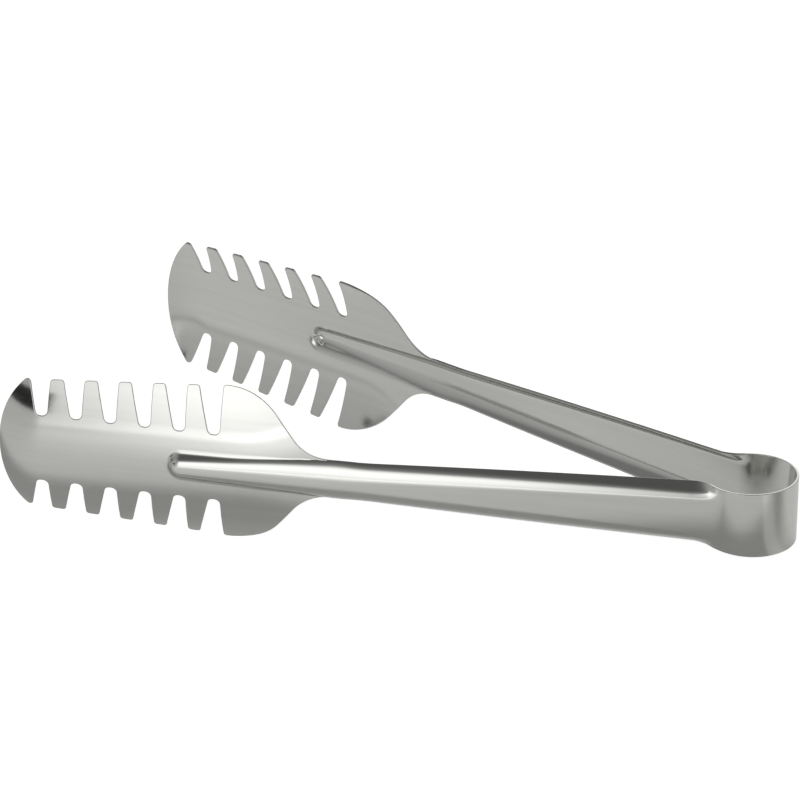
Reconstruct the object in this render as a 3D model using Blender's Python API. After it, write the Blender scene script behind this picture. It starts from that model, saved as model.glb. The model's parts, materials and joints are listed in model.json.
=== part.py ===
"""Pasta tongs, stamped from one strip of stainless steel sheet.

The maker blanks a flat strip with a comb at each end, presses a rib and two flanges into it, and
bends it round a former at the middle. This script follows the same order. Every zone of the strip is
drawn flat, as stations along the strip and distances across it, and then pressed and bent to shape.
The strip is split where it flexes and where its section changes, with a hairline gap at each split.

Level frame, used while modelling: the bow's axis is Z through the origin, the handles run towards -X,
and the strip's middle line lies in the XY plane. The finished tongs are then tipped so that they lie
on a table the way they come to rest, on the crown of the bow and the lower lobes of the two combs.
"""
import math

import bmesh
import bpy
import numpy as np
from mathutils import Matrix, Vector

MM = 0.001

# Sheet
SHEET_THICKNESS = 1.0 * MM
SPLIT_GAP = 0.3 * MM
STRIP_WIDTH = 24.2 * MM

# Bow: a round spring, drawn in at the throat before the handles spread
BOW_OUTER_RADIUS = 16.7 * MM
HANDLE_ANGLE = math.radians(14.18)
RIM_THROAT_RADIUS = 10.0 * MM
WEB_THROAT_RADIUS = 14.0 * MM
BOW_HINGE_SHARE = 0.6

# Handles: an open channel, web outwards, with wide corners and two flanges that lean inwards
WEB_OFFSET = 13.4 * MM
CHANNEL_START = 20.0 * MM
FLANGE_START_DEPTH = 5.1 * MM
FLANGE_END_DEPTH = 3.7 * MM
FLANGE_ANGLE = math.radians(55.0)
WEB_START_HALF_WIDTH = 6.3 * MM
WEB_END_HALF_WIDTH = 0.7 * MM
LEAST_PRESS_RADIUS = 2.5 * MM

# The strip narrows from the throat to the end of the handles, a little faster as it goes
NARROWING_LEAD = 8.0 * MM
NARROWING_POWER = 1.4
HANDLE_END_HALF_WIDTH = 7.15 * MM

# Splits between the zones of the strip
LEG_END = 28.0 * MM
HANDLE_END = 141.0 * MM

# Neck: where the flanges open out into the comb
NECK_LEAD = 11.0 * MM
NECK_LAG = 5.5 * MM
FLARE_LENGTH = 48.0 * MM
NECK_HALF_WIDTH = 7.2 * MM
NECK_FILLET = 16.7 * MM

# Comb: a dished plate with a rounded lobe behind the teeth and a curled nose
COMB_ANGLE = math.radians(11.634)
COMB_OFFSET = 18.09 * MM
COMB_DISH_RADIUS = 61.7 * MM
DISH_RUN_LENGTH = 50.0 * MM
RIB_WALL_ANGLE = math.radians(60.0)
RIB_START_HALF_WIDTH = 7.1 * MM
RIB_END_HALF_WIDTH = 5.85 * MM
RIB_FOOT_RADIUS = 2.5 * MM
RIB_END_LAG = 17.3 * MM
LOBE_LEAD = 3.45 * MM
LOBE_CENTRE_HEIGHT = 6.4 * MM
LOBE_RADIUS = 24.3 * MM
NOSE_LENGTH = 17.2 * MM
NOSE_RADIUS = 35.3 * MM
NOSE_CORNER_RADIUS = 1.3 * MM
CURL_LENGTH = 16.9 * MM
CURL_RADIUS = 30.0 * MM

# Teeth: slots with one side square to the comb and the other side slanted
SLOT_COUNT = 6
FIRST_SLOT_STATION = 188.25 * MM
SLOT_PITCH = 12.53 * MM
SLOT_ROOT_HEIGHT = 12.7 * MM
SLOT_ROOT_WIDTH = 4.06 * MM
SLOT_ROOT_CORNER_SHARE = 0.72
SLOT_BACK_LEAN = (math.radians(2.3), math.radians(-1.6))
SLOT_FRONT_LEAN = (math.radians(14.6), math.radians(13.2))
TOOTH_CORNER_RADIUS = 1.2 * MM
TEETH_START_HALF_WIDTH = 30.4 * MM
TEETH_END_HALF_WIDTH = 25.45 * MM

# Facets
CORNER_STEPS = 3
BEND_STEP = math.radians(7.0)
SECTION_COLUMNS = 18
RIB_CUT_SHARES = (0.18, 0.36, 0.5, 0.66, 0.82, 1.0)
STEEL = (0.56, 0.56, 0.54, 1.0)


# Stations that follow from the sizes above
RIB_END = FIRST_SLOT_STATION + RIB_END_LAG
LOBE_STATION = FIRST_SLOT_STATION - LOBE_LEAD
NOSE_STATION = FIRST_SLOT_STATION + (SLOT_COUNT - 1) * SLOT_PITCH + NOSE_LENGTH
CURL_START = NOSE_STATION - CURL_LENGTH
NECK_START = HANDLE_END - NECK_LEAD
NECK_STATION = HANDLE_END + NECK_LAG
FLARE_END = NECK_STATION + FLARE_LENGTH


def ease(low, high, station):
    """A smooth rise from 0 at low to 1 at high."""
    share = np.clip((station - low) / (high - low), 0, 1)
    return share * share * (3 - 2 * share)


def outward(angle):
    """The direction away from the middle plane, for a line that spreads at an angle."""
    return np.array([math.sin(angle), math.cos(angle)])


def along(angle):
    """The direction from the bow towards the teeth, for a line that spreads at an angle."""
    return np.array([-math.cos(angle), math.sin(angle)])


def polar(angle):
    """The direction at an angle round the bow from the crown."""
    return np.array([math.cos(angle), math.sin(angle)])


def meeting(spot, out, radius, side):
    """How far a line from a spot runs, against a direction, to the near or far side of a circle."""
    ahead = float(spot @ out)
    return ahead + side * math.sqrt(max(ahead**2 - float(spot @ spot) + radius**2, 0))


class Rail:
    """One line of the strip seen from above: round the bow, back through the throat, along the handle."""

    def __init__(self, offset, angle, throat_radius):
        self.offset = offset
        self.angle = angle
        self.throat_radius = throat_radius
        self.bow_radius = BOW_OUTER_RADIUS - SHEET_THICKNESS / 2
        reach = self.bow_radius + throat_radius
        self.turn = math.acos((offset + throat_radius) / reach)
        self.wrap = math.pi / 2 - angle + self.turn
        self.bow_length = self.bow_radius * self.wrap
        self.throat_end = self.bow_length + throat_radius * self.turn
        self.throat_station = reach * math.sin(self.turn)
        self.throat_centre = reach * np.array([math.cos(self.wrap), math.sin(self.wrap)])

    def at(self, length):
        """The point at a length of strip from the crown, and the direction away from the middle there."""
        if length <= self.bow_length:
            out = polar(length / self.bow_radius)
            return self.bow_radius * out, out
        if length <= self.throat_end:
            out = polar(self.wrap - (length - self.bow_length) / self.throat_radius)
            return self.throat_centre - self.throat_radius * out, out
        station = self.throat_station + length - self.throat_end
        return self.offset * outward(self.angle) + station * along(self.angle), outward(self.angle)

    def below(self, spot, out):
        """How far this line lies from a spot outside it, straight in towards the middle."""
        on_bow = meeting(spot, out, self.bow_radius, -1)
        landing = spot - on_bow * out
        if math.atan2(landing[1], landing[0]) <= self.wrap and spot[0] > self.throat_centre[0]:
            return on_bow
        on_line = (spot @ outward(self.angle) - self.offset) / (out @ outward(self.angle))
        if (spot - on_line * out) @ along(self.angle) >= self.throat_station:
            return on_line
        return meeting(spot - self.throat_centre, out, self.throat_radius, 1)


def flange_depth(station):
    """How far the rim of the handle lies in from the web, on the middle surface of the sheet."""
    share = (station - CHANNEL_START) / (HANDLE_END - CHANNEL_START)
    outer = FLANGE_START_DEPTH + (FLANGE_END_DEPTH - FLANGE_START_DEPTH) * share
    return outer - SHEET_THICKNESS / 2 * (1 - math.cos(FLANGE_ANGLE))


def rim_rail():
    """The rim's line: its handle runs from the flanges' depth at one end to their depth at the other."""
    first, last = (WEB_RAIL.offset * outward(HANDLE_ANGLE) + station * along(HANDLE_ANGLE)
                   - flange_depth(station) * outward(HANDLE_ANGLE) for station in (CHANNEL_START, HANDLE_END))
    run = last - first
    angle = math.atan2(run[1], -run[0])
    return Rail(float(first @ outward(angle)), angle, RIM_THROAT_RADIUS)


WEB_RAIL = Rail(WEB_OFFSET - SHEET_THICKNESS / 2, HANDLE_ANGLE, WEB_THROAT_RADIUS)
RIM_RAIL = rim_rail()
# Stations are distances along the handle from the bow's axis, so the crown's station is below zero
CROWN_STATION = WEB_RAIL.throat_station - WEB_RAIL.throat_end
HINGE_STATION = CROWN_STATION + BOW_HINGE_SHARE * WEB_RAIL.bow_length
BEND = HANDLE_ANGLE - COMB_ANGLE


def section(station):
    """The depth of the pressing and the slope of its walls, for the handle and for the rib."""
    flare = ease(NECK_STATION, FLARE_END, station)
    web = WEB_RAIL.offset * outward(HANDLE_ANGLE) + station * along(HANDLE_ANGLE)
    depth = flange_depth(station)
    depth += (float(web @ outward(COMB_ANGLE)) - COMB_OFFSET - depth) * flare
    return depth, FLANGE_ANGLE + (RIB_WALL_ANGLE - FLANGE_ANGLE) * flare


def foot_half_width(station):
    """Half the width across the feet of the walls, from the strip's edges to the end of the rib."""
    share = max(station + NARROWING_LEAD, 0) / (HANDLE_END + NARROWING_LEAD)
    edge = STRIP_WIDTH / 2 + (HANDLE_END_HALF_WIDTH - STRIP_WIDTH / 2) * share**NARROWING_POWER
    leaning = math.sin(FLANGE_ANGLE) * ease(-NARROWING_LEAD, LEG_END, station)
    edge -= SHEET_THICKNESS / 2 * leaning
    share = (station - NECK_STATION) / (RIB_END - NECK_STATION)
    rib = RIB_START_HALF_WIDTH + (RIB_END_HALF_WIDTH - RIB_START_HALF_WIDTH) * share
    return edge + (rib - edge) * ease(NECK_START, NECK_STATION, station)


def half_width(station):
    """Half the width of the strip from the crown to the neck."""
    foot = foot_half_width(station)
    return foot + (NECK_HALF_WIDTH - foot) * ease(NECK_START, NECK_STATION, station)


def base(station):
    """The rim's point, the outward direction and the depth of the pressing at a station."""
    web, direction = WEB_RAIL.at(station - CROWN_STATION)
    if station <= LEG_END:
        depth = RIM_RAIL.below(web, direction)
    else:
        direction = outward(HANDLE_ANGLE - BEND * ease(NECK_START, FLARE_END, station))
        depth = section(station)[0]
    return web - depth * direction, direction, depth


def profile(station, depth):
    """The pressed section from the middle of the web to the foot of its wall: widths and heights."""
    full_depth, wall_angle = section(station)
    share = min(max((station - CHANNEL_START) / (HANDLE_END - CHANNEL_START), 0), 1)
    web = WEB_START_HALF_WIDTH + (WEB_END_HALF_WIDTH - WEB_START_HALF_WIDTH) * share
    foot_radius = RIB_FOOT_RADIUS * ease(HANDLE_END, LOBE_STATION, station)
    room = foot_half_width(station) - web - full_depth / math.tan(wall_angle)
    top_radius = max(room / math.tan(wall_angle / 2) - foot_radius, LEAST_PRESS_RADIUS)
    both = top_radius + foot_radius
    wall_angle = min(wall_angle, math.acos(min(max(1 - full_depth / both, -1), 1)))
    wall = max(full_depth - both * (1 - math.cos(wall_angle)), 0) / max(math.sin(wall_angle), BEND)
    run = both * math.sin(wall_angle) + wall * math.cos(wall_angle)
    flat = max(foot_half_width(station) - run, SHEET_THICKNESS / 2)
    turns = np.linspace(0, wall_angle, 2 * CORNER_STEPS + 1)
    top = [(flat + top_radius * math.sin(a), full_depth - top_radius * (1 - math.cos(a))) for a in turns]
    foot = [(flat + run - foot_radius * math.sin(a), foot_radius * (1 - math.cos(a))) for a in turns[::-1]]
    return np.array([(0, full_depth)] + top + foot) * (1, depth / full_depth)


def pressed(station, across):
    """A point of the sheet's middle surface for a station along the strip and a distance across it."""
    side = math.copysign(1, across)
    centre = RIB_END - foot_half_width(RIB_END)
    ahead = max(station - centre, 0)
    radius = math.hypot(ahead, across)
    drawn_from = min(station, centre) if ahead else station
    rim, direction, depth = base(drawn_from)
    shape = profile(drawn_from, depth)
    steps = np.hypot(*np.diff(shape, axis=0).T)
    run = np.concatenate([[0], np.cumsum(steps)])
    foot = shape[-1, 0]
    reach = run[-1] * radius / foot
    width = np.interp(reach, run, shape[:, 0]) if radius < foot else radius
    height = np.interp(reach, run, shape[:, 1]) if radius < foot else 0
    spread = width / radius if radius > 0 else 1
    width_across = abs(across) * spread
    ahead = ahead * spread
    if drawn_from != station:
        rim, direction, _ = base(centre + ahead)
    dish = ease(NECK_START, NECK_START + DISH_RUN_LENGTH, station) / COMB_DISH_RADIUS
    up = math.sin(width_across * dish) / dish if dish else width_across
    sag = (1 - math.cos(width_across * dish)) / dish if dish else 0
    curl = max(station - CURL_START, 0) / CURL_RADIUS
    if curl:
        rim, direction, _ = base(CURL_START)
        rim = rim + CURL_RADIUS * math.sin(curl) * along(COMB_ANGLE)
        sag = sag + CURL_RADIUS * (1 - math.cos(curl))
    plan = rim + (height - sag) * direction
    return np.array([plan[0], plan[1], side * up])


def sheet_point(station, across, level):
    """A point of the strip at a level through the sheet, from -1 on the inner face to 1 on the outer."""
    step = SPLIT_GAP / 2
    ahead = pressed(station + step, across) - pressed(station - step, across)
    over = pressed(station, across + step) - pressed(station, across - step)
    normal = np.cross(ahead, over)
    normal /= np.linalg.norm(normal)
    return pressed(station, across) - level * SHEET_THICKNESS / 2 * normal


def columns(station, count):
    """Distances across the strip at a station, closer together where the press turns the sheet."""
    depth = base(station)[2]
    shape = profile(station, depth)
    foot, edge = shape[-1, 0], half_width(station)
    steps = np.diff(shape, axis=0)
    lengths = np.hypot(*steps.T)
    slopes = np.unwrap(np.arctan2(steps[:, 1], steps[:, 0]))
    turning = np.concatenate([[0], np.abs(np.diff(slopes)) * 2 * RIB_FOOT_RADIUS])
    effort = np.concatenate([[0], np.cumsum(lengths + turning)])
    across = np.concatenate([[0], np.cumsum(lengths)]) * foot / lengths.sum()
    if edge > foot:
        effort = np.append(effort, effort[-1] + edge - foot)
        across = np.append(across, edge)
    half = np.interp(np.linspace(0, effort[-1], count // 2 + 1), effort, across)
    return np.concatenate([-half[:0:-1], half])


def finish(name, bm, mirrored, pivot, parent):
    """Makes the object, with its origin on its hinge and its own steel."""
    if mirrored:
        bmesh.ops.scale(bm, vec=(1, -1, 1), verts=bm.verts)
    bmesh.ops.recalc_face_normals(bm, faces=bm.faces)
    bmesh.ops.translate(bm, vec=-pivot, verts=bm.verts)
    mesh = bpy.data.meshes.new(name)
    bm.to_mesh(mesh)
    bm.free()
    mesh.shade_smooth()
    mesh.set_sharp_from_angle(angle=math.radians(35))
    piece = bpy.data.objects.new(name, mesh)
    bpy.context.collection.objects.link(piece)
    piece.parent = parent
    steel = bpy.data.materials.new(name + "_steel")
    steel.use_nodes = True
    shader = steel.node_tree.nodes["Principled BSDF"]
    shader.inputs["Base Color"].default_value = STEEL
    shader.inputs["Metallic"].default_value = 1.0
    shader.inputs["Roughness"].default_value = 0.28
    mesh.materials.append(steel)
    return piece


def drawn_zone(stations, count):
    """A length of the strip lofted through its sections, both faces and all four edges."""
    bm = bmesh.new()
    faces = []
    for level in (-1, 1):
        rows = []
        for station in stations:
            spots = columns(max(station, HINGE_STATION), count)
            rows.append([bm.verts.new(sheet_point(station, t, level)) for t in spots])
        faces.append(rows)
    inner, outer = faces
    for rows in faces:
        for near, far in zip(rows, rows[1:]):
            for i in range(count):
                bm.faces.new((near[i], near[i + 1], far[i + 1], far[i]))
    for low, high in ((inner[0], outer[0]), (inner[-1], outer[-1])):
        for i in range(count):
            bm.faces.new((low[i], low[i + 1], high[i + 1], high[i]))
    for column in (0, -1):
        for k in range(len(stations) - 1):
            bm.faces.new((inner[k][column], inner[k + 1][column], outer[k + 1][column], outer[k][column]))
    return bm


def arc(centre, radius, start, end):
    """Points of an arc, as (station, across), both ends included."""
    steps = max(2, math.ceil(abs(end - start) / BEND_STEP))
    angles = np.linspace(start, end, steps + 1)
    return [(centre[0] + radius * math.cos(a), centre[1] + radius * math.sin(a)) for a in angles]


def rounded(corner, before, after, radius):
    """A corner of an outline replaced by an arc of a radius."""
    corner, before, after = (np.array(p) for p in (corner, before, after))
    into = (before - corner) / np.linalg.norm(before - corner)
    out = (after - corner) / np.linalg.norm(after - corner)
    half_angle = math.acos(float(np.clip(into @ out, -1, 1))) / 2
    centre = corner + (into + out) / np.linalg.norm(into + out) * radius / math.sin(half_angle)
    first = corner + into * radius / math.tan(half_angle) - centre
    sweep = math.pi - 2 * half_angle
    turn = math.copysign(sweep, float(np.cross(corner - before, after - corner)))
    start = math.atan2(first[1], first[0])
    return arc(centre, radius, start, start + turn)


def teeth_edge(station):
    """Half the width of the comb over the ends of its teeth."""
    first = FIRST_SLOT_STATION - SLOT_ROOT_WIDTH / 2
    last = FIRST_SLOT_STATION + (SLOT_COUNT - 1) * SLOT_PITCH + SLOT_ROOT_WIDTH
    share = (station - first) / (last - first)
    return TEETH_START_HALF_WIDTH + (TEETH_END_HALF_WIDTH - TEETH_START_HALF_WIDTH) * share


def slot_corners(index):
    """The four corners of a slot: mouth and root at its square side, root and mouth at its slant."""
    share = index / (SLOT_COUNT - 1)
    centre = FIRST_SLOT_STATION + index * SLOT_PITCH
    back_lean = SLOT_BACK_LEAN[0] + (SLOT_BACK_LEAN[1] - SLOT_BACK_LEAN[0]) * share
    front_lean = SLOT_FRONT_LEAN[0] + (SLOT_FRONT_LEAN[1] - SLOT_FRONT_LEAN[0]) * share
    back = centre - SLOT_ROOT_WIDTH / 2
    front = centre + SLOT_ROOT_WIDTH / 2
    depth = teeth_edge(centre) - SLOT_ROOT_HEIGHT
    back_mouth = back + depth * math.tan(back_lean)
    front_mouth = front + depth * math.tan(front_lean)
    return [(back_mouth, teeth_edge(back_mouth)), (back, SLOT_ROOT_HEIGHT),
            (front, SLOT_ROOT_HEIGHT), (front_mouth, teeth_edge(front_mouth))]


def comb_outline(start):
    """Half the flat outline of the comb, from the neck along its upper edge to the middle of its nose."""
    neck_centre = (NECK_STATION, NECK_HALF_WIDTH + NECK_FILLET)
    lobe_centre = (LOBE_STATION, LOBE_CENTRE_HEIGHT)
    reach = math.dist(neck_centre, lobe_centre)
    meet = math.atan2(neck_centre[1] - lobe_centre[1], neck_centre[0] - lobe_centre[0])
    meet -= math.acos((NECK_FILLET + LOBE_RADIUS) / reach)
    stations = np.linspace(start, NECK_STATION, 3)[:-1]
    points = [(s, half_width(s)) for s in stations]
    points += arc(neck_centre, NECK_FILLET, -math.pi / 2, meet - math.pi)
    mouth = slot_corners(0)[0][0]
    points += arc(lobe_centre, LOBE_RADIUS, meet, math.acos((mouth - LOBE_STATION) / LOBE_RADIUS))
    lobe_end = points.pop()
    corners = [(lobe_end, TOOTH_CORNER_RADIUS)]
    for index in range(SLOT_COUNT):
        mouth_back, back, front, mouth_front = slot_corners(index)
        if index:
            corners.append((mouth_back, TOOTH_CORNER_RADIUS))
        corners.append((back, SLOT_ROOT_WIDTH * math.tan(math.pi / 4 - SLOT_FRONT_LEAN[0] / 8) / 2))
        corners.append((front, SLOT_ROOT_WIDTH * math.tan(math.pi / 4 + SLOT_FRONT_LEAN[0] / 2) / 2
                        * SLOT_ROOT_CORNER_SHARE))
        corners.append((mouth_front, TOOTH_CORNER_RADIUS))
    # The last slot's slanted side runs on to the nose instead of to a tooth
    nose_centre = np.array([NOSE_STATION - NOSE_RADIUS, 0])
    up = np.array([math.sin(SLOT_FRONT_LEAN[1]), math.cos(SLOT_FRONT_LEAN[1])])
    shoulder = front - meeting(np.array(front) - nose_centre, up, NOSE_RADIUS, -1) * up
    corners[-1] = (shoulder, NOSE_CORNER_RADIUS)
    reach = shoulder - nose_centre
    nose = arc(nose_centre, NOSE_RADIUS, math.atan2(reach[1], reach[0]), 0)
    spots = [points[-1]] + [spot for spot, _ in corners] + [nose[2]]
    for i, (spot, radius) in enumerate(corners):
        points += rounded(spot, spots[i], spots[i + 2], radius)
    return points + nose[2:]


def comb_zone(start):
    """The comb, cut flat with its slots, scored where it bends, and pressed."""
    upper = comb_outline(start)
    outline = upper + [(s, -t) for s, t in upper[-2::-1]]
    bm = bmesh.new()
    flat = [bm.verts.new((s, t, -1)) for s, t in outline]
    bottom = bm.faces.new(flat)
    solid = bmesh.ops.extrude_face_region(bm, geom=[bottom])
    top = [v for v in solid["geom"] if isinstance(v, bmesh.types.BMVert)]
    bmesh.ops.translate(bm, vec=(0, 0, 2), verts=top)
    foot = foot_half_width((NECK_STATION + RIB_END) / 2)
    across = [foot * share for share in RIB_CUT_SHARES]
    dish_step = 2 * BEND_STEP / 3 * COMB_DISH_RADIUS
    across += list(np.arange(foot + dish_step, TEETH_START_HALF_WIDTH, dish_step))
    stations = list(np.linspace(start, FLARE_END, 9)[1:])
    stations += list(np.linspace(RIB_END - foot_half_width(RIB_END), RIB_END, 6))
    stations += list(np.arange(RIB_END + SLOT_PITCH, CURL_START, SLOT_PITCH))
    stations += list(np.arange(CURL_START, NOSE_STATION, BEND_STEP * CURL_RADIUS))
    cuts = [((s, 0, 0), (1, 0, 0)) for s in stations]
    cuts += [((0, side * t, 0), (0, 1, 0)) for t in across for side in (-1, 1)] + [((0, 0, 0), (0, 1, 0))]
    for spot, normal in cuts:
        whole = bm.verts[:] + bm.edges[:] + bm.faces[:]
        bmesh.ops.bisect_plane(bm, geom=whole, plane_co=spot, plane_no=normal, dist=SPLIT_GAP / 10)
    bmesh.ops.triangulate(bm, faces=bm.faces, quad_method="BEAUTY", ngon_method="BEAUTY")
    for vert in bm.verts:
        vert.co = sheet_point(vert.co.x, vert.co.y, vert.co.z)
    return bm


def resting_pose(pieces):
    """Tips the tongs about Y until they stand on the crown and on both combs, and centres them on Z = 0."""
    spots = np.array([piece.matrix_world @ v.co for piece in pieces for v in piece.data.vertices])
    crown = np.array([BOW_OUTER_RADIUS, 0, -STRIP_WIDTH / 2])
    tilt = 0
    for _ in range(SLOT_COUNT):
        heights = spots @ np.array([-math.sin(tilt), 0, math.cos(tilt)])
        lobes = np.where(spots[:, 0] < -NECK_STATION / 2, heights, heights.max())
        lowest = spots[np.argmin(lobes)]
        tilt = math.atan2(crown[2] - lowest[2], crown[0] - lowest[0])
    turn = Matrix.Rotation(tilt, 4, "Y")
    placed = spots @ np.array(turn.to_3x3()).T
    low, high = placed.min(axis=0), placed.max(axis=0)
    return Matrix.Translation((-(low[0] + high[0]) / 2, 0, -low[2])) @ turn


def build():
    for old in list(bpy.data.objects):
        bpy.data.objects.remove(old)

    stance = bpy.data.objects.new("stance", None)
    bpy.context.collection.objects.link(stance)
    half_gap = SPLIT_GAP / 2
    hinge = WEB_RAIL.at(HINGE_STATION - CROWN_STATION)[0]

    bend_length = BEND_STEP * BOW_OUTER_RADIUS
    steps = math.ceil((HINGE_STATION - CROWN_STATION) / bend_length)
    side = np.linspace(0, HINGE_STATION - CROWN_STATION - half_gap, steps + 1)
    crown = bmesh.new()
    rings = []
    for length in np.concatenate([-side[:0:-1], side]):
        mirror = math.copysign(1, length)
        ring = []
        for level, edge in ((-1, -1), (-1, 1), (1, 1), (1, -1)):
            x, y, z = sheet_point(CROWN_STATION + abs(length), edge * STRIP_WIDTH / 2, level)
            ring.append(crown.verts.new((x, mirror * y, z)))
        rings.append(ring)
    for near, far in zip(rings, rings[1:]):
        for i in range(4):
            crown.faces.new((near[i], near[i - 1], far[i - 1], far[i]))
    crown.faces.new(rings[0])
    crown.faces.new(rings[-1])
    pieces = [finish("bow_crown", crown, False, Vector((0, 0, 0)), stance)]

    leg_bow = np.arange(HINGE_STATION + half_gap, LEG_END - bend_length, bend_length)
    leg = np.append(leg_bow, LEG_END - half_gap)
    straight = np.linspace(LEG_END + half_gap, NECK_START, 8)
    handle = np.append(straight, [(NECK_START + HANDLE_END) / 2, HANDLE_END - half_gap])
    for name, mirrored in (("front", True), ("rear", False)):
        sign = -1 if mirrored else 1
        pivot = Vector((hinge[0], sign * hinge[1], 0))
        flexure = bpy.data.objects.new(name + "_flexure", None)
        bpy.context.collection.objects.link(flexure)
        flexure.parent = stance
        flexure.location = pivot
        pieces.append(finish(name + "_bow_leg", drawn_zone(leg, SECTION_COLUMNS), mirrored, pivot, flexure))
        pieces.append(finish(name + "_handle", drawn_zone(handle, SECTION_COLUMNS), mirrored, pivot, flexure))
        pieces.append(finish(name + "_comb", comb_zone(HANDLE_END + half_gap), mirrored, pivot, flexure))

    bpy.context.view_layer.update()
    stance.matrix_world = resting_pose(pieces)
    bpy.context.view_layer.update()


build()
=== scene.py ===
"""Pasta tongs: one strip of satin stainless steel, blanked, pressed and bent, on a pale studio floor."""
import json
import math

import bpy
import numpy as np
from mathutils import Matrix, Vector


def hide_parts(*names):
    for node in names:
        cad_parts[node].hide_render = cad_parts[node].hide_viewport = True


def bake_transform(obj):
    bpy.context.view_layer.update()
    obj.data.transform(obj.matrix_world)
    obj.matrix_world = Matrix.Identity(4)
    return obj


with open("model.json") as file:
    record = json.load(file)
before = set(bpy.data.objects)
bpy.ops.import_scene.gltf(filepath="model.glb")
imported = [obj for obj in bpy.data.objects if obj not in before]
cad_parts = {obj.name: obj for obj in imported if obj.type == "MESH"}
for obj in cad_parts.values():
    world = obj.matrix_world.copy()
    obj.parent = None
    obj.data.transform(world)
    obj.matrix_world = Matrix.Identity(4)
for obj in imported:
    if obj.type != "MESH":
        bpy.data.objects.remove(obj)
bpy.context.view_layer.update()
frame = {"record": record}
bpy.ops.object.select_all(action="DESELECT")

MM = 0.001


# How the tongs lie. The strip is worked out level, with the bow's axis upright through the origin and the
# handles towards -X, and is then tipped on to the table. The joint that the rear arm flexes on gives the
# tip and the place.

bow_mid_radius = 16.2 * MM
handle_angle = math.radians(14.18)
web_offset = 12.9 * MM
web_throat_radius = 14.0 * MM
hinge_share = 0.6

throat_reach = bow_mid_radius + web_throat_radius
throat_turn = math.acos((web_offset + web_throat_radius) / throat_reach)
bow_wrap = math.pi / 2 - handle_angle + throat_turn
rear_joint = next(j for j in frame["record"]["behaviour"]["joints"] if j["child"] == "rear_arm")
up = Vector(rear_joint["axis"]).normalized()
tip_over = Matrix.Rotation(math.atan2(up.x, up.z), 4, "Y")
hinge_turn = hinge_share * bow_wrap
level_hinge = bow_mid_radius * Vector((math.cos(hinge_turn), math.sin(hinge_turn), 0))
lie = Matrix.Translation(Vector(rear_joint["pos_m"]) - tip_over @ level_hinge) @ tip_over


# The camera: a long lens two metres off, to the right of the combs and above them, rolled very slightly.
# All of it is set against the level tongs, and tips with them.

camera_azimuth = math.radians(23.823)
camera_elevation = math.radians(26.321)
camera_roll = math.radians(0.812)
camera_distance = 1.9984084
aim = Vector((-0.1330397, -0.0001734, 0))
lens_length = 252.75
picture_pixels = 800
picture_drop = 31.0

back = Vector((math.sin(camera_azimuth) * math.cos(camera_elevation),
               -math.cos(camera_azimuth) * math.cos(camera_elevation),
               math.sin(camera_elevation)))
right = Vector((math.cos(camera_azimuth), math.sin(camera_azimuth), 0))
upright = back.cross(right)
rolled_right = right * math.cos(camera_roll) + upright * math.sin(camera_roll)
rolled_up = upright * math.cos(camera_roll) - right * math.sin(camera_roll)
place = aim + back * camera_distance
level_camera = Matrix((rolled_right, rolled_up, back)).transposed().to_4x4()
level_camera.translation = place

bpy.ops.object.camera_add()
camera = bpy.context.object
camera.name = "camera"
camera.matrix_world = lie @ level_camera
camera.data.sensor_width = 36
camera.data.lens = lens_length
camera.data.shift_y = picture_drop / picture_pixels
camera.data.clip_end = 50
bpy.context.scene.camera = camera


# The press tools, and what they do to the sheet: the bend round the bow, the channel with its rounded
# corners, the neck where the channel turns into the rib, the dish of the comb, and the curl of the nose.
# Stations run along the strip from the foot of the throat, and each half of the strip is pressed alike.

sheet = 1.0 * MM
strip_width = 24.2 * MM
rim_throat_radius = 10.0 * MM
channel_start = 20.0 * MM
handle_end = 141.0 * MM
start_depth = 5.1 * MM
end_depth = 3.7 * MM
flange_angle = math.radians(55)
web_start = 6.3 * MM
web_end = 0.7 * MM
least_radius = 2.5 * MM
narrowing_lead = 8.0 * MM
narrowing_power = 1.4
handle_end_half = 7.15 * MM
leg_end = 28.0 * MM
neck_start = 130.0 * MM
neck_station = 146.5 * MM
flare_end = 194.5 * MM
comb_angle = math.radians(11.634)
comb_offset = 18.09 * MM
dish_radius = 61.7 * MM
dish_run = 50.0 * MM
rib_wall_angle = math.radians(60)
rib_start_half = 7.1 * MM
rib_end_half = 5.85 * MM
rib_foot_radius = 2.5 * MM
rib_end = 205.55 * MM
lobe_station = 184.8 * MM
curl_start = 251.2 * MM
curl_radius = 30.0 * MM
walk_steps = 60
least_dish = 0.01

crown_station = throat_reach * math.sin(throat_turn)
crown_station -= bow_mid_radius * bow_wrap + web_throat_radius * throat_turn


def ease(low, high, value):
    """A smooth rise from 0 to 1 between two values."""
    share = np.clip((value - low) / (high - low), 0, 1)
    return share * share * (3 - 2 * share)


def polar(angle):
    """The direction at an angle round the bow's axis."""
    return np.stack([np.cos(angle), np.sin(angle)], -1)


def spread(angle):
    """The outward direction of a line that spreads at an angle, and the direction along it."""
    return np.stack([np.sin(angle), np.cos(angle)], -1), np.stack([-np.cos(angle), np.sin(angle)], -1)


def rail(offset, angle, throat_radius):
    """The throat of one line of the strip: where the bow ends, the throat's centre and its last station."""
    reach = bow_mid_radius + throat_radius
    turn = math.acos((offset + throat_radius) / reach)
    wrap = math.pi / 2 - angle + turn
    return wrap, reach * polar(np.array(wrap)), reach * math.sin(turn)


def flange_depth(station):
    """How deep the channel is at a station, between the middles of its web and its rims."""
    share = (station - channel_start) / (handle_end - channel_start)
    return start_depth + (end_depth - start_depth) * share - sheet / 2 * (1 - math.cos(flange_angle))


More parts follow.
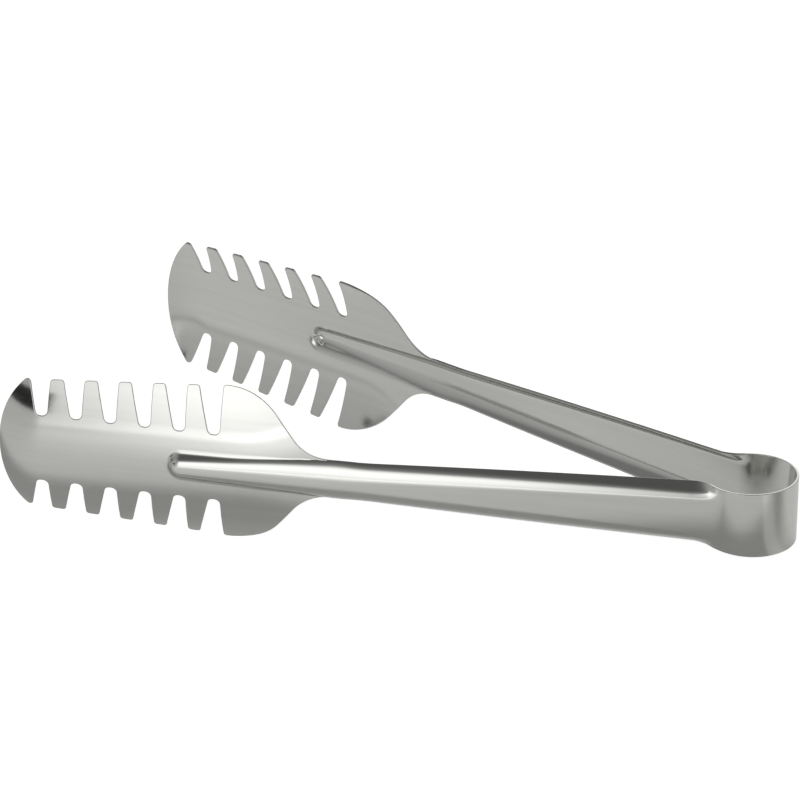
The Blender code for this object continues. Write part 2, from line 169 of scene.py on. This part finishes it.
def web_line(station):
    """Points of the web's line, and the outward direction at each."""
    wrap, centre, last = rail(web_offset, handle_angle, web_throat_radius)
    length = station - crown_station
    on_bow = polar(length / bow_mid_radius)
    turned = np.clip(wrap - (length - bow_mid_radius * wrap) / web_throat_radius, 0, np.pi)
    in_throat = polar(turned)
    out, ahead = spread(np.full_like(station, handle_angle))
    bowed = (length <= bow_mid_radius * wrap)[:, None]
    throat = (station <= last)[:, None]
    spot = np.where(bowed, bow_mid_radius * on_bow,
                    np.where(throat, centre - web_throat_radius * in_throat,
                             web_offset * out + station[:, None] * ahead))
    return spot, np.where(bowed, on_bow, np.where(throat, in_throat, out))


def rim_depth(spot, direction):
    """How far the rim lies in from the web, from the bow to where the channel is at its full depth."""
    web_out, web_ahead = spread(handle_angle)
    first, last = (web_offset * web_out + place * web_ahead - flange_depth(place) * web_out
                   for place in (channel_start, handle_end))
    angle = math.atan2(last[1] - first[1], first[0] - last[0])
    out, ahead = spread(angle)
    offset = float(first @ out)
    wrap, centre, last = rail(offset, angle, rim_throat_radius)

    def meeting(start, radius, side):
        reach = (start * direction).sum(1)
        return reach + side * np.sqrt(np.maximum(reach**2 - (start**2).sum(1) + radius**2, 0))

    on_bow = meeting(spot, bow_mid_radius, -1)
    landing = spot - on_bow[:, None] * direction
    on_line = (spot @ out - offset) / (direction @ out)
    along = (spot - on_line[:, None] * direction) @ ahead
    bowed = (np.arctan2(landing[:, 1], landing[:, 0]) <= wrap) & (spot[:, 0] > centre[0])
    return np.where(bowed, on_bow,
                    np.where(along >= last, on_line, meeting(spot - centre, rim_throat_radius, 1)))


def section(station):
    """The pressing's full depth and the slope of its walls along the handle and the rib."""
    flare = ease(neck_station, flare_end, station)
    out, ahead = spread(handle_angle)
    comb_out, _ = spread(comb_angle)
    handle = flange_depth(station)
    rib = web_offset * float(out @ comb_out) + station * float(ahead @ comb_out) - comb_offset
    return handle + (rib - handle) * flare, flange_angle + (rib_wall_angle - flange_angle) * flare


def foot_half_width(station):
    """Half the width across the feet of the walls: the strip's own edges, and then the rib's feet."""
    share = np.maximum(station + narrowing_lead, 0) / (handle_end + narrowing_lead)
    edge = strip_width / 2 + (handle_end_half - strip_width / 2) * share**narrowing_power
    edge = edge - sheet / 2 * math.sin(flange_angle) * ease(-narrowing_lead, leg_end, station)
    share = (station - neck_station) / (rib_end - neck_station)
    rib = rib_start_half + (rib_end_half - rib_start_half) * share
    return edge + (rib - edge) * ease(neck_start, neck_station, station)


def across_section(walked, full, depth, wall, top, foot, slope, flat):
    """A point of the pressed section, as its distance across and its height, at a walk from the middle."""
    first = np.clip(walked - flat, 0, top * wall) / top
    second = np.clip(walked - flat - top * wall, 0, slope)
    third = np.clip(walked - flat - top * wall - slope, 0, foot * wall)
    turned = wall - third / np.maximum(foot, 1e-9)
    out = (np.minimum(walked, flat) + top * np.sin(first) + second * np.cos(wall)
           + foot * (np.sin(wall) - np.sin(turned)))
    height = (full - top * (1 - np.cos(first)) - second * np.sin(wall)
              - foot * (np.cos(turned) - np.cos(wall))) * depth / full
    return np.stack([out, height])


def stations_of(station):
    """Everything that the press knows at a station: rim, outward direction, depth, radii and widths."""
    web, direction = web_line(station)
    full, wall = section(station)
    depth = np.where(station <= leg_end, np.maximum(rim_depth(web, direction), 0), full)
    bent, _ = spread(handle_angle - (handle_angle - comb_angle) * ease(neck_start, flare_end, station))
    direction = np.where((station > leg_end)[:, None], bent, direction)
    half = foot_half_width(station)
    share = np.clip((station - channel_start) / (handle_end - channel_start), 0, 1)
    web_half = web_start + (web_end - web_start) * share
    foot = rib_foot_radius * ease(handle_end, lobe_station, station)
    room = half - web_half - full / np.tan(wall)
    top = np.maximum(room / np.tan(wall / 2) - foot, least_radius)
    wall = np.minimum(wall, np.arccos(np.clip(1 - full / (top + foot), -1, 1)))
    slope = np.maximum(full - (top + foot) * (1 - np.cos(wall)), 0) / np.sin(wall)
    flat = np.maximum(half - (top + foot) * np.sin(wall) - slope * np.cos(wall), sheet / 2)
    run = flat + (top + foot) * wall + slope
    walks = np.linspace(0, 1, walk_steps) * run[:, None]
    sizes = (size[:, None] for size in (full, depth, wall, top, foot, slope, flat))
    length = np.hypot(*np.diff(across_section(walks, *sizes))).sum(1)
    rim = web - depth[:, None] * direction
    return rim, direction, depth, full, wall, top, foot, slope, flat, run, half, length


def middle_surface(station, across):
    """Points of the sheet's middle surface, from places on the flat blank."""
    centre = rib_end - foot_half_width(np.array([rib_end]))[0]
    held = np.minimum(station, centre)
    rim, direction, depth, full, wall, top, foot, slope, flat, run, half, length = stations_of(held)
    beyond = station - held
    reach = np.abs(across)
    width = np.where(reach < length, reach * half / length, half + reach - length)
    radius = np.hypot(beyond, width)
    walked = np.where(radius < half, radius * run / half, run)

    out, height = across_section(walked, full, depth, wall, top, foot, slope, flat)
    out = np.where(radius < half, out, radius)
    height = np.where(radius < half, height, 0)
    stretch = np.where(radius > 0, out / np.maximum(radius, 1e-12), 1)
    width, beyond = width * stretch, beyond * stretch

    dish = ease(neck_start, neck_start + dish_run, station) / dish_radius
    bent = dish > least_dish
    dished = np.where(bent, dish, 1)
    high = np.where(bent, np.sin(width * dished) / dished, width)
    sag = np.where(bent, (1 - np.cos(width * dished)) / dished, 0)
    comb_out, comb_ahead = spread(comb_angle)
    curled = np.maximum(station - curl_start, 0) / curl_radius
    straight = np.minimum(beyond, curl_start - centre)
    rim = rim + (straight + curl_radius * np.sin(curled))[:, None] * comb_ahead
    sag = sag + curl_radius * (1 - np.cos(curled))
    plan = rim + (height - sag)[:, None] * direction
    return np.column_stack([plan, np.sign(across) * high])


def across_on_blank(station, width):
    """Where a point lies on the flat blank, from its distance across the finished section."""
    centre = rib_end - foot_half_width(np.array([rib_end]))[0]
    *_, half, length = stations_of(np.minimum(station, centre))
    return np.where(width < half, width * length / half, length + width - half)


# The blank: the flat strip as the blanking tool leaves it, from the crown of the bow to the nose of one
# comb. Its outline, with six slots a side, is cut from the sheet, and the burr is rounded off both faces.

neck_half_width = 7.2 * MM
neck_fillet = 16.7 * MM
lobe_height = 6.4 * MM
lobe_radius = 24.3 * MM
nose_station = 268.1 * MM
nose_radius = 35.3 * MM
nose_corner = 1.3 * MM
slot_count = 6
first_slot = 188.25 * MM
slot_pitch = 12.53 * MM
root_height = 12.7 * MM
root_width = 4.06 * MM
back_leans = math.radians(2.3), math.radians(-1.6)
front_leans = math.radians(14.6), math.radians(13.2)
tooth_corner = 1.2 * MM
root_corner_shares = 0.485, 0.46
teeth_start = 30.4 * MM
teeth_end = 25.45 * MM
burr = 0.28 * MM
crown_spare = 2.4 * MM
strip_step = 1.0 * MM
arc_step = math.radians(4)
corner_step = math.radians(11)
nose_step = math.radians(2)


def arc(centre, radius, start, end, step=arc_step):
    """Points along an arc, both ends included."""
    angles = np.linspace(start, end, max(4, math.ceil(abs(end - start) / step)) + 1)
    return [(centre[0] + radius * math.cos(a), centre[1] + radius * math.sin(a)) for a in angles]


def rounded(corner, before, after, radius):
    """Points along the round of a corner, from the points before and after it."""
    corner, before, after = (np.array(p) for p in (corner, before, after))
    into = (before - corner) / np.linalg.norm(before - corner)
    out = (after - corner) / np.linalg.norm(after - corner)
    half_angle = math.acos(float(np.clip(into @ out, -1, 1))) / 2
    centre = corner + (into + out) / np.linalg.norm(into + out) * radius / math.sin(half_angle)
    first = corner + into * radius / math.tan(half_angle) - centre
    a, b = corner - before, after - corner
    sweep = math.copysign(math.pi - 2 * half_angle, float(a[0] * b[1] - a[1] * b[0]))
    start = math.atan2(first[1], first[0])
    return arc(centre, radius, start, start + sweep, corner_step)


def teeth_edge(station):
    """How far from the middle of the comb the teeth reach."""
    share = (station - first_slot + root_width / 2) / ((slot_count - 1) * slot_pitch + 1.5 * root_width)
    return teeth_start + (teeth_end - teeth_start) * share


neck_centre = (neck_station, neck_half_width + neck_fillet)
lobe_centre = (lobe_station, lobe_height)
meet = math.atan2(neck_centre[1] - lobe_centre[1], neck_centre[0] - lobe_centre[0])
meet -= math.acos((neck_fillet + lobe_radius) / math.dist(neck_centre, lobe_centre))

strip_edge = []
for station in np.arange(crown_station - crown_spare, neck_station, strip_step):
    half = foot_half_width(np.array([station]))[0]
    half += (neck_half_width - half) * float(ease(neck_start, neck_station, station))
    strip_edge.append((station, half))
comb_edge = arc(neck_centre, neck_fillet, -math.pi / 2, meet - math.pi)
lobe_mouth = first_slot - root_width / 2
comb_edge += arc(lobe_centre, lobe_radius, meet, math.acos((lobe_mouth - lobe_station) / lobe_radius))
corners = [(comb_edge.pop(), tooth_corner)]
for i in range(slot_count):
    share = i / (slot_count - 1)
    centre = first_slot + i * slot_pitch
    lean_back = back_leans[0] + (back_leans[1] - back_leans[0]) * share
    lean_front = front_leans[0] + (front_leans[1] - front_leans[0]) * share
    rise = teeth_edge(centre) - root_height
    back_root, front_root = centre - root_width / 2, centre + root_width / 2
    back_mouth = back_root + rise * math.tan(lean_back)
    front_mouth = front_root + rise * math.tan(lean_front)
    if i:
        corners.append(((back_mouth, teeth_edge(back_mouth)), tooth_corner))
    corners.append(((back_root, root_height), root_corner_shares[0] * root_width))
    corners.append(((front_root, root_height), root_corner_shares[1] * root_width))
    corners.append(((front_mouth, teeth_edge(front_mouth)), tooth_corner))
nose_centre = np.array([nose_station - nose_radius, 0])
slant = np.array([math.sin(front_leans[1]), math.cos(front_leans[1])])
from_centre = np.array([front_root, root_height]) - nose_centre
rise = -from_centre @ slant + math.sqrt((from_centre @ slant)**2 - from_centre @ from_centre + nose_radius**2)
shoulder = nose_centre + from_centre + rise * slant
corners[-1] = (shoulder, nose_corner)
nose_turn = math.atan2(*(shoulder - nose_centre)[::-1])
nose = arc(nose_centre, nose_radius, nose_turn, 0, nose_step)
spots = [comb_edge[-1]] + [spot for spot, _ in corners] + [nose[2]]
for i, (spot, radius) in enumerate(corners):
    comb_edge += rounded(spot, spots[i], spots[i + 2], radius)
upper = np.array(strip_edge + comb_edge + nose[2:])
upper[:, 1] = across_on_blank(upper[:, 0], upper[:, 1])
outline = np.concatenate([upper, upper[-2::-1] * [1, -1]])

bpy.ops.mesh.primitive_circle_add(vertices=len(outline), radius=strip_width, fill_type="NOTHING")
blank = bpy.context.object
blank.name = "blank"
for vert, (x, y) in zip(blank.data.vertices, outline):
    vert.co = (x, y, -sheet / 2)
bpy.ops.object.mode_set(mode="EDIT")
bpy.ops.mesh.select_all(action="SELECT")
bpy.ops.mesh.edge_face_add()
bpy.ops.mesh.extrude_region_move(TRANSFORM_OT_translate={"value": (0, 0, sheet)})
bpy.ops.object.mode_set(mode="OBJECT")
blank_mesh = blank.data
levels = np.array([vert.co.z for vert in blank_mesh.vertices])
for edge in blank_mesh.edges:
    edge.select = bool(levels[edge.vertices[0]] * levels[edge.vertices[1]] > 0)
bpy.ops.object.mode_set(mode="EDIT")
bpy.ops.mesh.select_mode(type="EDGE")
bpy.ops.mesh.bevel(offset=burr, segments=3, affect="EDGES")

# Score lines give the sheet places to bend, in stretches of start, end and spacing in millimetres: close
# together where the press works it hard, in the bow, at the neck, at the rib's end and in the nose.
stretches_along = ((crown_station / MM, 2, 1.1), (2, 26, 0.7), (26, 128, 2.6), (128, 196, 1.3),
                   (196, 207, 0.5), (207, 250, 2.6), (250, 268, 1.3))
stretches_across = (0, 16.5, 0.55), (17.2, 33, 1.5)
nearest_points = 0.01 * MM


def score_lines(stretches):
    return np.concatenate([np.arange(*(np.array(stretch) * MM)) for stretch in stretches])


score_along, score_across = score_lines(stretches_along), score_lines(stretches_across)
bpy.ops.mesh.select_all(action="SELECT")
bpy.ops.mesh.bisect(plane_co=(crown_station, 0, 0), plane_no=(1, 0, 0), clear_inner=True, use_fill=True)
for x in score_along[1:]:
    bpy.ops.mesh.select_all(action="SELECT")
    bpy.ops.mesh.bisect(plane_co=(x, 0, 0), plane_no=(1, 0, 0), threshold=nearest_points)
for y in np.concatenate([-score_across[:0:-1], score_across]):
    bpy.ops.mesh.select_all(action="SELECT")
    bpy.ops.mesh.bisect(plane_co=(0, y, 0), plane_no=(0, 1, 0), threshold=nearest_points)
bpy.ops.object.mode_set(mode="OBJECT")


# Satin steel: stainless sheet, brushed along the strip and then polished. It has hair-fine lines, a soft
# gloss that wavers where the sheet was worked and handled, and a duller sheared edge.

warm_steel = (0.605, 0.605, 0.58, 1)
bright_steel = (0.635, 0.635, 0.612, 1)
sheared_steel = (0.5, 0.5, 0.48, 1)
sheared_share = 0.6
sheared_roughness = 0.12
handled_roughness = 0.12, 0.15
brushed_roughness = -0.01, 0.01
line_depth = 0.002 * MM
line_strength = 0.5
wave_depth = 0.09 * MM
pattern_range = 0.3, 0.7

grain = bpy.data.node_groups.new("satin_grain", "ShaderNodeTree")
grain.interface.new_socket(name="Strip", in_out="INPUT", socket_type="NodeSocketVector")
grain.interface.new_socket(name="Cut Edge", in_out="INPUT", socket_type="NodeSocketFloat")
grain.interface.new_socket(name="Color", in_out="OUTPUT", socket_type="NodeSocketColor")
grain.interface.new_socket(name="Roughness", in_out="OUTPUT", socket_type="NodeSocketFloat")
grain.interface.new_socket(name="Normal", in_out="OUTPUT", socket_type="NodeSocketVector")
nodes, links = grain.nodes, grain.links
given = nodes.new("NodeGroupInput")
result = nodes.new("NodeGroupOutput")


def noise_on_strip(along, over, detail):
    """Noise stretched along the strip: its scale along the strip and across it, per metre."""
    stretch = nodes.new("ShaderNodeVectorMath")
    stretch.operation = "MULTIPLY"
    stretch.inputs[1].default_value = (along, over, 1)
    noise = nodes.new("ShaderNodeTexNoise")
    noise.inputs["Scale"].default_value = 1.0
    noise.inputs["Detail"].default_value = detail
    links.new(given.outputs["Strip"], stretch.inputs[0])
    links.new(stretch.outputs[0], noise.inputs["Vector"])
    return noise.outputs[0]


def blended(source, low, high):
    """A pattern spread over the range between two values."""
    ramp = nodes.new("ShaderNodeMapRange")
    ramp.inputs["From Min"].default_value = pattern_range[0]
    ramp.inputs["From Max"].default_value = pattern_range[1]
    ramp.inputs["To Min"].default_value = low
    ramp.inputs["To Max"].default_value = high
    links.new(source, ramp.inputs["Value"])
    return ramp.outputs[0]


def joined(operation, first, second):
    """Two values, or a value and a number, joined by one operation."""
    maths = nodes.new("ShaderNodeMath")
    maths.operation = operation
    links.new(first, maths.inputs[0])
    if isinstance(second, float):
        maths.inputs[1].default_value = second
    else:
        links.new(second, maths.inputs[1])
    return maths.outputs[0]


hair_lines = noise_on_strip(45, 2600, 3)
brushing = noise_on_strip(14, 420, 2)
handling = noise_on_strip(38, 55, 3)
working = noise_on_strip(26, 40, 1)

tint = nodes.new("ShaderNodeMix")
tint.data_type = "RGBA"
tint.inputs["A"].default_value = warm_steel
tint.inputs["B"].default_value = bright_steel
links.new(blended(brushing, 0.0, 1.0), tint.inputs["Factor"])
dulled = nodes.new("ShaderNodeMix")
dulled.data_type = "RGBA"
dulled.inputs["B"].default_value = sheared_steel
links.new(tint.outputs["Result"], dulled.inputs["A"])
links.new(joined("MULTIPLY", given.outputs["Cut Edge"], sheared_share), dulled.inputs["Factor"])
links.new(dulled.outputs["Result"], result.inputs["Color"])

gloss = joined("ADD", blended(handling, *handled_roughness), blended(brushing, *brushed_roughness))
rough_edge = joined("MULTIPLY", given.outputs["Cut Edge"], sheared_roughness)
links.new(joined("ADD", gloss, rough_edge), result.inputs["Roughness"])

lines_bump = nodes.new("ShaderNodeBump")
lines_bump.inputs["Strength"].default_value = line_strength
lines_bump.inputs["Distance"].default_value = line_depth
links.new(hair_lines, lines_bump.inputs["Height"])
wave_bump = nodes.new("ShaderNodeBump")
wave_bump.inputs["Strength"].default_value = 1.0
wave_bump.inputs["Distance"].default_value = wave_depth
links.new(working, wave_bump.inputs["Height"])
links.new(lines_bump.outputs[0], wave_bump.inputs["Normal"])
links.new(wave_bump.outputs[0], result.inputs["Normal"])

steel = bpy.data.materials.new("satin_steel")
steel.use_nodes = True
nodes, links = steel.node_tree.nodes, steel.node_tree.links
steel_shader = nodes["Principled BSDF"]
steel_shader.inputs["Metallic"].default_value = 1.0
on_strip = nodes.new("ShaderNodeUVMap")
on_strip.uv_map = "strip"
cut_edge = nodes.new("ShaderNodeAttribute")
cut_edge.attribute_name = "cut_edge"
satin = nodes.new("ShaderNodeGroup")
satin.node_tree = grain
links.new(on_strip.outputs[0], satin.inputs["Strip"])
links.new(cut_edge.outputs["Fac"], satin.inputs["Cut Edge"])
links.new(satin.outputs["Color"], steel_shader.inputs["Base Color"])
links.new(satin.outputs["Roughness"], steel_shader.inputs["Roughness"])
links.new(satin.outputs["Normal"], steel_shader.inputs["Normal"])


# The two halves of the strip. The blank is pressed twice, once for each side. Each half runs from the crown
# of the bow to its nose and is steel all through.

level_face = 0.999
crown_cut = 0.001 * MM

flat = np.array([vert.co for vert in blank_mesh.vertices])
facing = np.zeros_like(flat)
lying = np.zeros(len(flat), bool)
for face in blank_mesh.polygons:
    ids = list(face.vertices)
    if abs(face.normal.z) > level_face:
        lying[ids] = True
    elif abs(face.center.x - crown_station) > crown_cut:
        facing[ids] += np.array(face.normal) * face.area
facing[lying] = np.column_stack([np.zeros((lying.sum(), 2)), np.sign(flat[lying, 2])])
facing /= np.linalg.norm(facing, axis=1, keepdims=True)

step = 0.02 * MM
station, across = flat[:, 0], flat[:, 1]
middle = middle_surface(station, across)
ahead = (middle_surface(station + step, across) - middle_surface(station - step, across)) / (2 * step)
over = (middle_surface(station, across + step) - middle_surface(station, across - step)) / (2 * step)
normal = np.cross(ahead, over)
normal /= np.linalg.norm(normal, axis=1, keepdims=True)
pressed = middle + flat[:, 2:] * normal
turned = (facing[:, :1] * np.cross(over, normal) + facing[:, 1:2] * np.cross(normal, ahead)
          + facing[:, 2:] * np.cross(ahead, over))
turned /= np.linalg.norm(turned, axis=1, keepdims=True)

drawn = flat[:, :2] - [crown_station, 0]
lie_turn = np.array(lie.to_3x3())
lie_place = np.array(lie.translation)
for name, mirror in (("front", -1), ("rear", 1)):
    half = blank.copy()
    half.data = blank_mesh.copy()
    half.name = half.data.name = name + "_half_strip"
    bpy.context.collection.objects.link(half)
    mesh = half.data
    way = np.array([1, mirror, 1])
    mesh.vertices.foreach_set("co", ((pressed * way) @ lie_turn.T + lie_place).ravel())
    if mirror < 0:
        mesh.flip_normals()
    strip_map = mesh.uv_layers.new(name="strip")
    corner_ids = np.zeros(len(mesh.loops), int)
    mesh.loops.foreach_get("vertex_index", corner_ids)
    strip_map.data.foreach_set("uv", (drawn[corner_ids] * [mirror, 1]).astype(np.float32).ravel())
    half.data.attributes.new("cut_edge", "FLOAT", "POINT").data.foreach_set("value", 1.0 - lying)
    mesh.shade_smooth()
    mesh.update()
    mesh.normals_split_custom_set_from_vertices((turned * way) @ lie_turn.T)
    mesh.materials.clear()
    mesh.materials.append(steel)
    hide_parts(name + "_bow_leg", name + "_handle", name + "_comb", "bow_crown")
    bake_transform(half)
bpy.data.objects.remove(blank)


# The floor: matt white paper, lit by the studio. The camera sees it as white, with the tongs' shadow on it.
# The steel sees it glow a little less, and by place, in painted light and shade: darker beside the arms,
# brighter between them and out in front, and with one painted bright streak to the right of the bow.
# Distances are in metres, from the middle of the tongs.

paper_size = 6.0
paper_tone = 0.72
camera_glow = 0.78
least_painted_glow = 0.04
arm_slant = 0.21
bow_axis = 0.12


def grey(tone):
    return tone, tone, tone, 1


bpy.ops.mesh.primitive_plane_add(size=paper_size)
floor = bpy.context.object
floor.name = "floor"
paper = bpy.data.materials.new("white_paper")
paper.use_nodes = True
nodes, links = paper.node_tree.nodes, paper.node_tree.links
paper_shader = nodes["Principled BSDF"]
paper_shader.inputs["Base Color"].default_value = grey(paper_tone)
paper_shader.inputs["Roughness"].default_value = 0.9
paper_shader.inputs["Specular IOR Level"].default_value = 0.0
paper_shader.inputs["Emission Color"].default_value = (1, 1, 1, 1)
spot_on_floor = nodes.new("ShaderNodeTexCoord")
floor_parts = nodes.new("ShaderNodeSeparateXYZ")
links.new(spot_on_floor.outputs["Object"], floor_parts.inputs[0])


def fade(source, dark_at, bright_at):
    """A smooth mask that rises from 0 to 1 between two places along an axis."""
    edge = nodes.new("ShaderNodeMapRange")
    edge.interpolation_type = "SMOOTHSTEP"
    edge.inputs["From Min"].default_value = dark_at
    edge.inputs["From Max"].default_value = bright_at
    links.new(source, edge.inputs["Value"])
    return edge.outputs[0]


floor_x, floor_y = floor_parts.outputs["X"], floor_parts.outputs["Y"]
# Painted light and shade for the steel's reflections: a glow by place, low beside the arms, higher in front
# of them, between them and in a streak to the right of the bow.
from_arm = joined("SUBTRACT", floor_y, joined("MULTIPLY", floor_x, arm_slant))
painted_near_glow = joined("MULTIPLY", fade(from_arm, -0.054, -0.074), 0.28)
painted_far_glow = joined("MULTIPLY", fade(floor_y, -0.07, -0.25), 0.5)
in_front = joined("ADD", painted_near_glow, joined("MULTIPLY", painted_far_glow, fade(floor_x, -0.2, -0.02)))
behind = joined("MULTIPLY", fade(from_arm, -0.045, -0.02), 0.34)
round_bow = joined("ARCTAN2", floor_y, joined("SUBTRACT", floor_x, bow_axis))
streak = joined("MULTIPLY", fade(round_bow, -0.85, -0.68), fade(round_bow, -0.2, -0.5))
painted_bow_streak = joined("ADD", joined("MULTIPLY", streak, 0.16), least_painted_glow)
seen = nodes.new("ShaderNodeLightPath")
# Only glossy rays see this painted glow; camera rays see an even white glow.
painted_reflection_glow = joined("ADD", joined("ADD", in_front, behind), painted_bow_streak)
painted_reflection_glow = joined("MULTIPLY", painted_reflection_glow, seen.outputs["Is Glossy Ray"])
glow = joined("ADD", painted_reflection_glow, joined("MULTIPLY", seen.outputs["Is Camera Ray"], camera_glow))
links.new(glow, paper_shader.inputs["Emission Strength"])
floor.data.materials.append(paper)


# Window light: a tall soft panel of lit cloth close in front of the combs. It is brightest low down, fades
# out upwards and towards the bow, and ends at the tips of the combs. Its places are shares of its size.

panel_size = 0.5
panel_place = (0.02, -0.30, 0.26)
panel_strength = 1.2
back_distance = 0.45

bpy.ops.mesh.primitive_plane_add(size=1.0, location=panel_place, rotation=(math.pi / 2, 0, 0))
panel = bpy.context.object
panel.name = "window_light"
panel.scale = (panel_size, panel_size, 1)
panel.visible_camera = False
cloth = bpy.data.materials.new("lit_cloth")
cloth.use_nodes = True
nodes, links = cloth.node_tree.nodes, cloth.node_tree.links
nodes.clear()
spot_on_panel = nodes.new("ShaderNodeTexCoord")
panel_parts = nodes.new("ShaderNodeSeparateXYZ")
links.new(spot_on_panel.outputs["Object"], panel_parts.inputs[0])

panel_x, panel_y = panel_parts.outputs["X"], panel_parts.outputs["Y"]
sides = joined("MULTIPLY", fade(panel_x, 0.38, 0.02), fade(panel_x, -0.42, -0.14))
height = joined("MULTIPLY", fade(panel_y, 0.36, -0.1), fade(panel_y, -0.88, -0.16))
lit = nodes.new("ShaderNodeEmission")
links.new(joined("MULTIPLY", joined("MULTIPLY", sides, height), panel_strength), lit.inputs["Strength"])
see_through = nodes.new("ShaderNodeBsdfTransparent")
both = nodes.new("ShaderNodeAddShader")
panel_out = nodes.new("ShaderNodeOutputMaterial")
links.new(lit.outputs[0], both.inputs[0])
links.new(see_through.outputs[0], both.inputs[1])
links.new(both.outputs[0], panel_out.inputs["Surface"])
panel.data.materials.append(cloth)

# A second one stands behind the tongs, so that the rear arm isn't flat and dull from that side.
back_panel = panel.copy()
back_panel.data = panel.data.copy()
back_panel.name = "back_light"
back_panel.location.y = back_distance
bpy.context.collection.objects.link(back_panel)

# A small black flag: a strip of felt held just off the tip of the front comb. It is a painted dark reflection
# on the nose and the first tooth: only the steel's reflections see it, and it casts no shadow.
flag_place = (-0.156, -0.12, 0.063)
flag_size = (0.076, 0.02, 1)
flag_tilt = math.radians(8)
felt_tone = 0.03

bpy.ops.mesh.primitive_plane_add(size=1.0, location=flag_place, rotation=(math.pi / 2, flag_tilt, 0))
flag = bpy.context.object
flag.name = "black_flag"
flag.scale = flag_size
flag.visible_camera = False
flag.visible_diffuse = False
flag.visible_shadow = False
felt = bpy.data.materials.new("black_felt")
felt.use_nodes = True
felt_shader = felt.node_tree.nodes["Principled BSDF"]
felt_shader.inputs["Base Color"].default_value = grey(felt_tone)
felt_shader.inputs["Roughness"].default_value = 0.9
flag.data.materials.append(felt)


# The room: pale walls that darken overhead, given as brightness by height. The camera sees it as white.

tone_underfoot = 0.56
tone_overhead = 0.1
tones_between = (0.35, 0.5), (0.7, 0.42), (0.84, 0.32), (0.93, 0.18)

world = bpy.data.worlds.new("room")
bpy.context.scene.world = world
world.use_nodes = True
nodes, links = world.node_tree.nodes, world.node_tree.links
nodes.clear()
where = nodes.new("ShaderNodeTexCoord")
room_parts = nodes.new("ShaderNodeSeparateXYZ")
links.new(where.outputs["Generated"], room_parts.inputs[0])
room = nodes.new("ShaderNodeValToRGB")
tones = room.color_ramp.elements
tones[0].color, tones[1].color = grey(tone_underfoot), grey(tone_overhead)
for level, tone in tones_between:
    tones.new(level).color = grey(tone)
links.new(room_parts.outputs["Z"], room.inputs[0])
room_light = nodes.new("ShaderNodeBackground")
links.new(room.outputs[0], room_light.inputs["Color"])
white = nodes.new("ShaderNodeBackground")
white.inputs["Color"].default_value = (1, 1, 1, 1)
seen = nodes.new("ShaderNodeLightPath")
choose = nodes.new("ShaderNodeMixShader")
links.new(seen.outputs["Is Camera Ray"], choose.inputs[0])
links.new(room_light.outputs[0], choose.inputs[1])
links.new(white.outputs[0], choose.inputs[2])
out = nodes.new("ShaderNodeOutputWorld")
links.new(choose.outputs[0], out.inputs["Surface"])

bpy.context.scene.view_settings.view_transform = "Standard"
